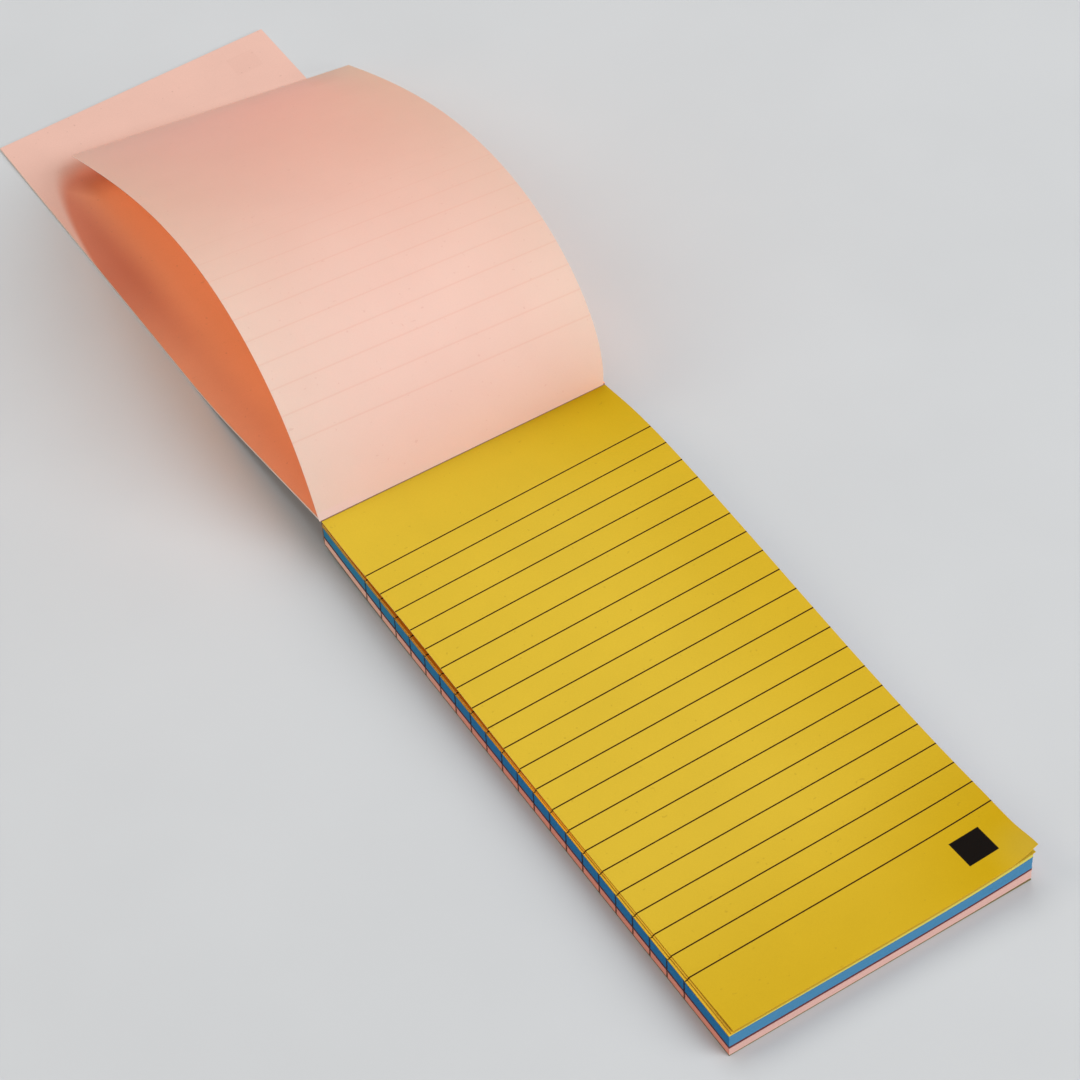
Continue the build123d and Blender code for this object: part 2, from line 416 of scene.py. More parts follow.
def page_mesh(name, point, across, along, rows, materials, ragged=0.0, seed=1):
    """A closed pile or sheet over a grid. point(share, run, depth) is a place in mm.

    Its faces take four materials: top, underside, long sides and ends. On the top and underside a UV is a
    place on the page in metres. On a side or an end it is the way along it in metres and the depth, 0 to 1.
    """
    width = sizes().width
    length = sizes().length
    verts = []
    grids = []
    for depth in (0, 1):
        grid = {}
        for i in range(across + 1):
            for k in range(along + 1):
                grid[i, k] = len(verts)
                verts.append(Vector(point(i / across, k / along * length / MM, depth)) * MM)
        grids.append(grid)
    rim = ring(across, along)
    shuffle = random.Random(seed)
    half_width = width / MM / 2
    layers = [[grids[0][i, k] for i, k, _ in rim]]
    for row in range(1, rows):
        inward = 1 - ragged * shuffle.random() / half_width
        layer = []
        for i, k, _ in rim:
            layer.append(len(verts))
            place = Vector(point(i / across, k / along * length / MM, row / rows)) * MM
            place.x *= inward
            if k == 0:
                inward_y = 1 if place.y < 0 else -1
                place.y += inward_y * ragged * shuffle.random() * MM
            verts.append(place)
        layers.append(layer)
    layers.append([grids[1][i, k] for i, k, _ in rim])

    faces = []
    uvs = []
    kinds = []
    for depth, grid in enumerate(grids):
        for i in range(across):
            for k in range(along):
                corners = [(i, k), (i + 1, k), (i + 1, k + 1), (i, k + 1)]
                if depth == 0:
                    corners.reverse()
                faces.append([grid[c] for c in corners])
                uvs += [(c[0] / across * width, c[1] / along * length) for c in corners]
                kinds.append(1 - depth)
    for row in range(rows):
        for step, (i, k, side) in enumerate(rim):
            after = (step + 1) % len(rim)
            j, m, _ = rim[after]
            below = layers[row]
            above = layers[row + 1]
            faces.append([below[step], above[step], above[after], below[after]])
            if side in ("left", "right"):
                ways = (k / along * length, m / along * length)
            else:
                ways = (i / across * width, j / across * width)
            low = row / rows
            high = (row + 1) / rows
            uvs += [(ways[0], low), (ways[0], high), (ways[1], high), (ways[1], low)]
            kinds.append(2 if side in ("left", "right") else 3)

    mesh = bpy.data.meshes.new(name)
    mesh.from_pydata(verts, [], faces)
    places = mesh.uv_layers.new(name="page")
    for loop, uv in zip(places.data, uvs):
        loop.uv = uv
    for material in materials:
        mesh.materials.append(material)
    for face, kind in zip(mesh.polygons, kinds):
        face.material_index = min(kind, len(materials) - 1)
        face.use_smooth = kind < 2
    mesh.update()
    rim_edges = set()
    for layer in (layers[0], layers[-1]):
        for step, vertex in enumerate(layer):
            rim_edges.add(frozenset((vertex, layer[(step + 1) % len(layer)])))
    for edge in mesh.edges:
        edge.use_edge_sharp = frozenset(edge.vertices) in rim_edges
    piece = bpy.data.objects.new(name, mesh)
    bpy.context.collection.objects.link(piece)
    return piece


def place_on_pad(share, run, height, slide=0.0):
    """A place over a page of the pad, slid sideways by an amount that grows towards the free edge."""
    width = sizes().width / MM
    length = sizes().length / MM
    return (mix(-width / 2, width / 2, share) + slide * (1 - run / length), run - length / 2, height)


def pile_point(floor_at, top_at):
    """A pile between two heights, given as a place for a share, a run and a depth."""

    def point(share, run, depth):
        return place_on_pad(share, run, mix(floor_at(share, run), top_at(share, run), depth))

    return point


def bent_point(underside, thickness):
    """A sheet of even thickness over a smooth underside, given as a place for a share and a run."""
    length = sizes().length / MM
    share_step = 0.01
    run_step = 1.0

    def point(share, run, depth):
        here = Vector(underside(share, run))
        if depth == 0:
            return here
        a = max(share - share_step, 0.0)
        b = min(share + share_step, 1.0)
        c = max(run - run_step, 0.0)
        d = min(run + run_step, length)
        over = Vector(underside(b, run)) - Vector(underside(a, run))
        on = Vector(underside(share, d)) - Vector(underside(share, c))
        return here + over.cross(on).normalized() * thickness * depth

    return point


def dress(piece, node):
    """Hides the solid that a piece stands for, and attaches the piece to the pad."""
    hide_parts(node)
    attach(piece, "root")


# Shader nodes


class Nodes:
    """A shorthand for adding linked nodes to a node tree."""

    def __init__(self, tree):
        self.tree = tree

    def add(self, kind, **settings):
        node = self.tree.nodes.new(kind)
        for name, value in settings.items():
            setattr(node, name, value)
        return node

    def join(self, value, socket):
        if isinstance(value, bpy.types.NodeSocket):
            self.tree.links.new(value, socket)
        else:
            socket.default_value = value

    def math(self, operation, a, b=0.0, c=0.0, clamp=False):
        node = self.add("ShaderNodeMath", operation=operation, use_clamp=clamp)
        for value, socket in zip((a, b, c), node.inputs):
            self.join(value, socket)
        return node.outputs[0]

    def mix_colour(self, amount, a, b, blend="MIX"):
        node = self.add("ShaderNodeMix", data_type="RGBA", blend_type=blend)
        self.join(amount, node.inputs[0])
        self.join(a, node.inputs[6])
        self.join(b, node.inputs[7])
        return node.outputs[2]

    def noise(self, vector, scale, detail=4.0, rough=0.6):
        node = self.add("ShaderNodeTexNoise")
        self.join(vector, node.inputs["Vector"])
        node.inputs["Scale"].default_value = scale
        node.inputs["Detail"].default_value = detail
        node.inputs["Roughness"].default_value = rough
        return node.outputs["Fac"]

    def steps(self, value, low, high, out_low=0.0, out_high=1.0):
        node = self.add("ShaderNodeMapRange", interpolation_type="SMOOTHSTEP")
        self.join(value, node.inputs["Value"])
        self.join(low, node.inputs["From Min"])
        self.join(high, node.inputs["From Max"])
        self.join(out_low, node.inputs["To Min"])
        self.join(out_high, node.inputs["To Max"])
        return node.outputs[0]


def new_group(name, inputs, outputs):
    """An empty node group, with its sockets made. inputs and outputs are names with kinds and defaults."""
    tree = bpy.data.node_groups.new(name, "ShaderNodeTree")
    for label, kind, default in inputs:
        socket = tree.interface.new_socket(label, in_out="INPUT", socket_type="NodeSocket" + kind)
        if default is not None:
            socket.default_value = default
    for label, kind in outputs:
        tree.interface.new_socket(label, in_out="OUTPUT", socket_type="NodeSocket" + kind)
    nodes = Nodes(tree)
    return nodes, nodes.add("NodeGroupInput"), nodes.add("NodeGroupOutput")


def fibre_group():
    """Paper's uneven pulp: soft clouds of shade, fine fibres and a few specks."""
    if "paper_fibre" in bpy.data.node_groups:
        return bpy.data.node_groups["paper_fibre"]
    cloud_scale = 45
    fibre_scale = 2200
    grain_scale = 600
    speck_scale = 900
    nodes, given, out = new_group(
        "paper_fibre",
        [("Cloud", "Float", 0.05), ("Fibre", "Float", 0.05), ("Speck", "Float", 0.3)],
        [("Shade", "Float"), ("Height", "Float"), ("Specks", "Float")],
    )
    place = nodes.add("ShaderNodeTexCoord").outputs["Object"]
    cloud = nodes.noise(place, cloud_scale, 3.0)
    fibre = nodes.noise(place, fibre_scale, 2.0, 0.7)
    grain = nodes.noise(place, grain_scale, 3.0, 0.6)
    cloud_part = nodes.math("MULTIPLY", nodes.math("SUBTRACT", cloud, 0.5), given.outputs["Cloud"])
    fibre_part = nodes.math("MULTIPLY", nodes.math("SUBTRACT", fibre, 0.5), given.outputs["Fibre"])
    shade = nodes.math("ADD", nodes.math("ADD", cloud_part, fibre_part), 1.0)
    specks = nodes.steps(nodes.noise(place, speck_scale, 0.0), 0.80, 0.86)
    height = nodes.math("ADD", nodes.math("MULTIPLY", grain, 0.6), nodes.math("MULTIPLY", fibre, 0.4))
    nodes.join(shade, out.inputs["Shade"])
    nodes.join(height, out.inputs["Height"])
    nodes.join(nodes.math("MULTIPLY", specks, given.outputs["Speck"]), out.inputs["Specks"])
    return nodes.tree


def ruled_group():
    """Printed lines across a page, told from the run along it, and the small dark plate near its corner."""
    if "ruled_lines" in bpy.data.node_groups:
        return bpy.data.node_groups["ruled_lines"]
    nodes, given, out = new_group(
        "ruled_lines",
        [
            ("Page", "Vector", None),
            ("First line", "Float", FIRST_LINE),
            ("Pitch", "Float", LINE_PITCH),
            ("Lines", "Float", LINE_COUNT),
            ("Line width", "Float", LINE_WIDTH),
            ("Length", "Float", PAGE_LENGTH),
            ("Softness", "Float", LINE_SOFT),
        ],
        [("Lines", "Float"), ("Plate", "Float"), ("Run", "Float")],
    )
    page = nodes.add("ShaderNodeSeparateXYZ")
    nodes.join(given.outputs["Page"], page.inputs[0])
    across = page.outputs[0]
    run = page.outputs[1]
    pitch = given.outputs["Pitch"]
    from_glue = nodes.math("SUBTRACT", given.outputs["Length"], run)
    count = nodes.math("DIVIDE", nodes.math("SUBTRACT", from_glue, given.outputs["First line"]), pitch)
    nearest = nodes.math("ROUND", count)
    off = nodes.math("ABSOLUTE", nodes.math("MULTIPLY", nodes.math("SUBTRACT", count, nearest), pitch))
    half = nodes.math("MULTIPLY", given.outputs["Line width"], 0.5)
    soft = given.outputs["Softness"]
    line = nodes.steps(off, nodes.math("ADD", half, soft), nodes.math("SUBTRACT", half, soft))
    past_first = nodes.math("GREATER_THAN", nearest, -0.5)
    before_last = nodes.math("LESS_THAN", nearest, nodes.math("SUBTRACT", given.outputs["Lines"], 0.5))
    inside = nodes.math("MULTIPLY", past_first, before_last)
    nodes.join(nodes.math("MULTIPLY", line, inside), out.inputs["Lines"])
    up = nodes.math("SUBTRACT", run, PLATE_RUN)
    aside = nodes.math("MULTIPLY_ADD", up, PLATE_SKEW, nodes.math("SUBTRACT", across, PLATE_ACROSS))
    plate_x = nodes.math("DIVIDE", nodes.math("ABSOLUTE", aside), PLATE_HALF_WIDTH)
    plate_y = nodes.math("DIVIDE", nodes.math("ABSOLUTE", up), PLATE_HALF_LENGTH)
    nodes.join(nodes.steps(nodes.math("MAXIMUM", plate_x, plate_y), *PLATE_RIM), out.inputs["Plate"])
    nodes.join(from_glue, out.inputs["Run"])
    return nodes.tree


def sheen_fade_group():
    """Where a yellow sheet is painted a deeper colour, away from a painted sheen.

    That is towards its right side, its free edge and its glued right corner, but not at its lifted tip, which
    keeps the paler tone of the painted sheen.
    """
    if "painted_sheen_depth" in bpy.data.node_groups:
        return bpy.data.node_groups["painted_sheen_depth"]
    nodes, given, out = new_group("painted_sheen_depth", [("Page", "Vector", None)], [("Mask", "Float")])
    page = nodes.add("ShaderNodeSeparateXYZ")
    nodes.join(given.outputs["Page"], page.inputs[0])
    across = page.outputs[0]
    run = page.outputs[1]
    right = nodes.steps(across, *SHEEN_FADE_RIGHT)
    free = nodes.steps(run, *SHEEN_FADE_FREE)
    glued = nodes.math("MULTIPLY", nodes.steps(run, *SHEEN_FADE_GLUED), nodes.steps(across, *SHEEN_FADE_GLUED_ACROSS))
    tip = nodes.math("MULTIPLY", nodes.steps(across, *PALE_TIP_ACROSS), nodes.steps(run, *PALE_TIP_RUN))
    whole = nodes.math("ADD", nodes.math("ADD", right, free), glued, clamp=True)
    nodes.join(nodes.math("SUBTRACT", whole, tip, clamp=True), out.inputs["Mask"])
    return nodes.tree


def leaves_group():
    """The many page edges of a pile: thin streaks along it, told from the depth within the pile."""
    if "page_edges" in bpy.data.node_groups:
        return bpy.data.node_groups["page_edges"]
    wobble_scale = 30
    wobble_size = 0.06
    streaks_per_metre = 12.0
    nodes, given, out = new_group(
        "page_edges",
        [("Page", "Vector", None), ("Leaves", "Float", 30.0), ("Strength", "Float", 0.3)],
        [("Shade", "Float"), ("Height", "Float")],
    )
    page = nodes.add("ShaderNodeSeparateXYZ")
    nodes.join(given.outputs["Page"], page.inputs[0])
    uneven = nodes.noise(given.outputs["Page"], wobble_scale, 2.0)
    wobble = nodes.math("MULTIPLY", nodes.math("SUBTRACT", uneven, 0.5), wobble_size)
    depth = nodes.math("MULTIPLY", nodes.math("ADD", page.outputs[1], wobble), given.outputs["Leaves"])
    where = nodes.add("ShaderNodeCombineXYZ")
    nodes.join(nodes.math("MULTIPLY", page.outputs[0], streaks_per_metre), where.inputs[0])
    nodes.join(depth, where.inputs[1])
    streak = nodes.noise(where.outputs[0], 1.0, 3.0, 0.7)
    leaf = nodes.math("ABSOLUTE", nodes.math("SUBTRACT", nodes.math("FRACT", depth), 0.5))
    amount = nodes.math("MULTIPLY", nodes.math("SUBTRACT", streak, 0.5), given.outputs["Strength"])
    height = nodes.math("ADD", nodes.math("MULTIPLY", streak, 0.7), nodes.math("MULTIPLY", leaf, 0.6))
    nodes.join(nodes.math("ADD", amount, 1.0), out.inputs["Shade"])
    nodes.join(height, out.inputs["Height"])
    return nodes.tree


def put(nodes, group, **values):
    """Places a node group with its values, each named as its input is, with _ for a space."""
    node = nodes.add("ShaderNodeGroup", node_tree=group)
    for name, value in values.items():
        nodes.join(value, node.inputs[name.replace("_", " ")])
    return node


def new_material(name):
    """An empty material, with its nodes and its one shader."""
    material = bpy.data.materials.new(name)
    material.use_nodes = True
    material.node_tree.nodes.clear()
    nodes = Nodes(material.node_tree)
    shader = nodes.add("ShaderNodeBsdfPrincipled")
    return material, nodes, shader


def close(nodes, shader, thin=0.0, thin_colour=None):
    """Ends a material, letting a share of the light through where the paper is a single sheet."""
    out = nodes.add("ShaderNodeOutputMaterial")
    surface = shader.outputs[0]
    if thin:
        glow = nodes.add("ShaderNodeBsdfTranslucent")
        nodes.join(thin_colour, glow.inputs["Color"])
        both = nodes.add("ShaderNodeMixShader")
        both.inputs[0].default_value = thin
        nodes.tree.links.new(surface, both.inputs[1])
        nodes.tree.links.new(glow.outputs[0], both.inputs[2])
        surface = both.outputs[0]
    nodes.tree.links.new(surface, out.inputs[0])


def shaded(nodes, colour, shade):
    """A colour made lighter or darker by a value near 1."""
    grey = nodes.add("ShaderNodeCombineColor")
    for socket in grey.inputs:
        nodes.join(shade, socket)
    return nodes.mix_colour(1.0, colour, grey.outputs[0], "MULTIPLY")


def add_grain(nodes, shader, height, strength, distance):
    """Fine bumps on a surface."""
    bump = nodes.add("ShaderNodeBump")
    bump.inputs["Strength"].default_value = strength
    bump.inputs["Distance"].default_value = distance
    nodes.join(height, bump.inputs["Height"])
    nodes.join(bump.outputs[0], shader.inputs["Normal"])


def place_print(nodes, page, soft, shift=0.0, widen=1.0):
    """The masks of the lines and the plate at a place on a page."""
    return put(
        nodes,
        ruled_group(),
        Page=page,
        First_line=sizes().first_line - shift,
        Pitch=sizes().line_pitch,
        Line_width=sizes().line_width * widen,
        Length=sizes().length,
        Softness=soft,
    )


# Each tint gives a function that changes the colour of paper over a part of the page.


# Paints the yellow deeper where no painted sheen lies.
def sheen_fade_tint(sheenless):
    def tint(nodes, page, across, run, base):
        mask = put(nodes, sheen_fade_group(), Page=page)
        return nodes.mix_colour(mask.outputs[0], base, sheenless)

    return tint


def run_tint(colour, reach):
    def tint(nodes, page, across, run, base):
        return nodes.mix_colour(nodes.steps(run, *reach), base, colour)

    return tint


def side_tint(colour, reach, run_reach=None):
    def tint(nodes, page, across, run, base):
        amount = nodes.steps(across, *reach)
        if run_reach:
            amount = nodes.math("MULTIPLY", amount, nodes.steps(run, *run_reach))
        return nodes.mix_colour(amount, base, colour)

    return tint


def cover_tint(lit, dark):
    """The tint of the turned pages under the arch, where the light comes through warm paper."""

    def tint(nodes, page, across, run, base):
        bay = nodes.math("EXPONENT", nodes.math("MULTIPLY", across, BAY_RATE))
        near = nodes.math("ADD", nodes.math("MULTIPLY", bay, BAY_DEPTH), COVER_START)
        start = nodes.math("MULTIPLY_ADD", across, COVER_SLOPE, near)
        covered = nodes.steps(nodes.math("SUBTRACT", run, start), *COVER_BLUR)
        side = nodes.math("MULTIPLY", nodes.steps(across, *SHADE_ACROSS), nodes.steps(run, *SHADE_RUN))
        side = nodes.math("MAXIMUM", side, nodes.steps(run, *SHADE_END))
        return nodes.mix_colour(covered, base, nodes.mix_colour(side, lit, dark))

    return tint


def root_tint(colour):
    """The tint of a sheet's last strip before the glue, at its left."""
    length = sizes().length
    strip = [length - distance for distance in ARCH_ROOT_BAND]

    def tint(nodes, page, across, run, base):
        amount = nodes.math("MULTIPLY", nodes.steps(run, *strip), nodes.steps(across, *ARCH_ROOT_ACROSS))
        return nodes.mix_colour(amount, base, colour)

    return tint


def printed(nodes, page, tone, ink, lines, plate=0.0, plate_ink=None, soft=LINE_SOFT, fade=None):
    """The print over a page's tone, faint and soft where it shows through, and fading with the run or not."""
    marks = place_print(nodes, page, soft)
    strength = nodes.math("MULTIPLY", marks.outputs["Lines"], lines)
    if fade:
        strength = nodes.math("MULTIPLY", strength, nodes.steps(marks.outputs["Run"], *fade))
    tone = nodes.mix_colour(strength, tone, ink)
    if plate:
        patch = nodes.math("MULTIPLY", marks.outputs["Plate"], plate)
        tone = nodes.mix_colour(patch, tone, plate_ink or ink)
    return tone


def paper(name, colour, tints=(), marks=None, thin=0.0, glow=None):
    """One face of a page: pulp with its tints, the print on it, and the light through it where it is thin."""
    material, nodes, shader = new_material(name)
    page = nodes.add("ShaderNodeUVMap", uv_map="page").outputs[0]
    fibre = put(nodes, fibre_group(), Cloud=0.10, Fibre=0.10, Speck=0.25)
    place = nodes.add("ShaderNodeSeparateXYZ")
    nodes.join(page, place.inputs[0])
    base = colour
    for tint in tints:
        base = tint(nodes, page, place.outputs[0], place.outputs[1], base)
    tone = shaded(nodes, base, fibre.outputs["Shade"])
    speck = (colour[0] * 0.5, colour[1] * 0.4, colour[2] * 0.4, 1.0)
    tone = nodes.mix_colour(fibre.outputs["Specks"], tone, speck)
    if marks:
        tone = printed(nodes, page, tone, **marks)
    nodes.join(tone, shader.inputs["Base Color"])
    shader.inputs["Roughness"].default_value = 0.72
    shader.inputs["Specular IOR Level"].default_value = 0.1
    add_grain(nodes, shader, fibre.outputs["Height"], 0.25, 0.00004)
    close(nodes, shader, thin, glow)
    return material


def page_edge(name, colour, leaves, ink=None, streaks=0.35, glued=None):
    """The cut edges of a pile of pages, with the ends of the printed lines on its long sides."""
    material, nodes, shader = new_material(name)
    page = nodes.add("ShaderNodeUVMap", uv_map="page").outputs[0]
    edge = put(nodes, leaves_group(), Page=page, Leaves=float(leaves), Strength=streaks)
    split = nodes.add("ShaderNodeSeparateXYZ")
    nodes.join(page, split.inputs[0])
    if glued:
        colour = nodes.mix_colour(nodes.steps(split.outputs[0], *GLUED_SIDE), colour, glued)
    tone = shaded(nodes, colour, edge.outputs["Shade"])
    if ink:
        turned = nodes.add("ShaderNodeCombineXYZ")
        nodes.join(split.outputs[0], turned.inputs[1])
        ticks = place_print(nodes, turned.outputs[0], TICK_SOFT, TICK_SHIFT, TICK_WIDEN)
        broken = nodes.steps(edge.outputs["Height"], *TICK_BREAKS)
        tone = nodes.mix_colour(nodes.math("MULTIPLY", ticks.outputs["Lines"], broken), tone, ink)
    nodes.join(tone, shader.inputs["Base Color"])
    shader.inputs["Roughness"].default_value = 0.8
    shader.inputs["Specular IOR Level"].default_value = 0.2
    add_grain(nodes, shader, edge.outputs["Height"], 0.5, 0.00006)
    close(nodes, shader)
    return material


def film(name, colour, roughness, grain):
    """Glue or card: an even stuff with a little grain, told from its place."""
    material, nodes, shader = new_material(name)
    fibre = put(nodes, fibre_group(), Cloud=grain, Fibre=grain, Speck=grain)
    nodes.join(shaded(nodes, colour, fibre.outputs["Shade"]), shader.inputs["Base Color"])
    rough = nodes.math("MULTIPLY", fibre.outputs["Shade"], roughness)
    nodes.join(rough, shader.inputs["Roughness"])
    add_grain(nodes, shader, fibre.outputs["Height"], 0.3, 0.00005)
    close(nodes, shader)
    return material


# What a user can set


def length_property(name, description, default):
    return bpy.props.FloatProperty(name=name, description=description, default=default, unit="LENGTH")


class NotepadSizes(bpy.types.PropertyGroup):
    width: length_property("Page width", "Width of a page", PAGE_WIDTH)
    length: length_property("Page length", "Length of a page from its free edge to the glue", PAGE_LENGTH)
    first_line: length_property("First line", "From the glued edge to the first printed line", FIRST_LINE)
    line_pitch: length_property("Line pitch", "From one printed line to the next", LINE_PITCH)
    line_width: length_property("Line width", "Thickness of a printed line", LINE_WIDTH)


def colour_property(name, description, default):
    return bpy.props.FloatVectorProperty(
        name=name, description=description, default=default, subtype="COLOR_GAMMA", size=3, min=0.0, max=1.0
    )


class NotepadColours(bpy.types.PropertyGroup):
    yellow: colour_property("Yellow paper", "The ruled sheets on top", (0.81, 0.686, 0.188))
    # The yellow paper away from the painted sheen
    sheenless_yellow: colour_property("Deep yellow", "The yellow paper where it looks deepest", (0.753, 0.61, 0.0))
    blue: colour_property("Blue pages", "The thickest section", (0.26, 0.50, 0.655))
    maroon: colour_property("Maroon pages", "The thin dark section", (0.38, 0.18, 0.19))
    pink: colour_property("Pink pages", "The lowest section and the turned sheets", (0.84, 0.684, 0.632))
    card: colour_property("Card", "The backing card", (0.48, 0.43, 0.26))
    glue: colour_property("Glue", "The film on the glued edge", (0.52, 0.36, 0.24))
    ink: colour_property("Ink", "The printed lines", (0.16, 0.05, 0.0))
    plate: colour_property("Plate", "The small dark printed plate", (0.02, 0.018, 0.01))
    floor: colour_property("Table", "What the pad lies on", (0.742, 0.755, 0.767))


# Operators


class NOTEPAD_OT_pages(bpy.types.Operator):
    """Make the four pressed sections of pages"""

    bl_idname = "notepad.pages"
    bl_label = "Pages"

    def execute(self, context):
        ink = linear(colours().ink)
        maroon = colours().maroon

        # Name, thickness, leaves, and the colours of the front end, the sides and the sides near the glue
        sections = (
            ("pink", PINK, 26, PINK_FACE, PINK_SIDE, PINK_SIDE_GLUED),
            ("maroon", MAROON, 11, maroon, maroon, maroon),
            ("blue", BLUE, 46, colours().blue, BLUE_SIDE, BLUE_SIDE_GLUED),
            ("yellow", YELLOW, 16, YELLOW_FRONT, YELLOW_SIDE, YELLOW_SIDE),
        )
        below = []
        for number, (name, section, leaves, colour, side_colour, glued_colour) in enumerate(sections):
            below.append(section)
            pile = tuple(below)

            def floor_at(share, run, pile=pile):
                return section_floor(pile, share, run)

            def top_at(share, run, pile=pile):
                return section_floor(pile, share, run) + section_thickness(pile[-1], share, run)

            tone = linear(colour)
            if name == "yellow":
                # Painted shade: the pile's left rim is painted orange-brown where it lies in the gap under
                # the loose sheet.
                rim = side_tint(linear(YELLOW_GAP_SHADE), PILE_GAP_SHADE_ACROSS, GAP_SHADE_RUN)
                face = paper("yellow_face", linear(colours().yellow), (rim,), {"ink": ink, "lines": 0.9})
            else:
                face = paper(name + "_face", tone)
            side = page_edge(name + "_side", linear(side_colour), leaves, ink, glued=linear(glued_colour))
            end = page_edge(name + "_end", tone, leaves)
            point = pile_point(floor_at, top_at)
            rows = max(4, leaves // 4)
            materials = (face, face, side, end)
            piece = page_mesh(name + "_pile", point, ACROSS, ALONG, rows, materials, RAGGED, number + 1)
            dress(piece, name + "_pages")
        return {"FINISHED"}


class NOTEPAD_OT_top_sheets(bpy.types.Operator):
    """Make the ruled yellow sheet on top and the loose sheet under it"""

    bl_idname = "notepad.top_sheets"
    bl_label = "Ruled sheets"

    def execute(self, context):
        yellow = linear(colours().yellow)
        ink = linear(colours().ink)
        glow = linear(YELLOW_GLOW)
        # Painted sheen: the sheets are painted a deeper yellow away from where a sheen lies.
        sheenless = sheen_fade_tint(linear(colours().sheenless_yellow))
        # Painted shade: the loose sheet's left rim is painted orange-brown where it lies in the gap under the
        # top sheet.
        rim = side_tint(linear(SHEET_GAP_SHADE), SHEET_GAP_SHADE_ACROSS, GAP_SHADE_RUN)
        # Painted shade on the sheet edges over the free half, with a painted highlight along the rest.
        edge_shade = side_tint(linear(SHEET_EDGE_SHADE), SHEET_EDGE_SHADE_RUN)
        marks = {"ink": ink, "lines": 1.0, "plate": 1.0, "plate_ink": linear(colours().plate)}
        back_marks = {"ink": ink, "lines": 0.15, "plate": 0.2, "soft": SHOWN_THROUGH_SOFT}
        face = paper("ruled_face", yellow, (sheenless,), marks, YELLOW_THIN, glow)
        back = paper("ruled_back", yellow, (sheenless,), back_marks, YELLOW_THIN_BACK, glow)
        loose_face = paper("loose_face", yellow, (rim,), marks, YELLOW_THIN, glow)
        edge = paper("sheet_edge", linear(SHEET_EDGE), (edge_shade,))
        front_edge = paper("sheet_front_edge", linear(SHEET_FRONT_EDGE))
        for name, node, floor_at, slide, upper in (
            ("loose_sheet", "second_sheet", second_floor, SECOND_SLIDE, loose_face),
            ("ruled_sheet", "top_sheet", top_floor, TOP_SLIDE, face),
        ):

            def underside(share, run, floor_at=floor_at, slide=slide):
                end = sizes().length / MM
                run = run * (end - SEAT) / end
                return place_on_pad(share, run, floor_at(share, run), slide)

            materials = (upper, back, edge, front_edge)
            piece = page_mesh(name, bent_point(underside, SHEET_THICK), ACROSS, SHEET_ALONG, 1, materials)
            dress(piece, node)
        return {"FINISHED"}


class NOTEPAD_OT_turned_pages(bpy.types.Operator):
    """Make the few pages that lie turned over behind the pad"""

    bl_idname = "notepad.turned_pages"
    bl_label = "Turned pages"

    def execute(self, context):
        left = pack_path(PACK_ROOT_LEFT)
        right = pack_path(PACK_ROOT_RIGHT)
        turn = sin(radians(PACK_TURN))
        width = sizes().width / MM
        length = sizes().length / MM
        root_y = length / 2 + GLUE_THICK + SEAT

        def underside(share, run):
            forward, up = between(left, right, share, (length - run) / length)
            x = mix(-width / 2, width / 2, share) + PACK_SHIFT - turn * forward
            return (x, root_y + forward, up)

        pink = linear(colours().pink)
        covered = cover_tint(COVER_LIT, COVER_DARK)
        back_marks = {"ink": linear(TURNED_INK), "lines": 0.02, "plate": 0.06, "soft": TURNED_SOFT}
        front_marks = {"ink": linear(colours().ink), "lines": 0.9, "plate": 0.95}
        back = paper("turned_back", pink, (covered,), back_marks)
        front = paper("turned_front", pink, (), front_marks)
        side = page_edge("turned_side", linear(TURNED_SIDE), PACK_LEAVES, streaks=0.15)
        end = page_edge("turned_end", pink, PACK_LEAVES)
        point = bent_point(underside, -PACK_THICK)
        materials = (back, front, side, end)
        piece = page_mesh(
            "turned_pile", point, PACK_ACROSS, ALONG, PACK_ROWS, materials, PACK_RAGGED, PACK_SEED
        )
        turn_out(piece)
        dress(piece, "turned_pages")
        return {"FINISHED"}


def turn_out(piece):
    """A turned page's run goes back towards the pad, so its faces are turned to look outward."""
    piece.data.flip_normals()


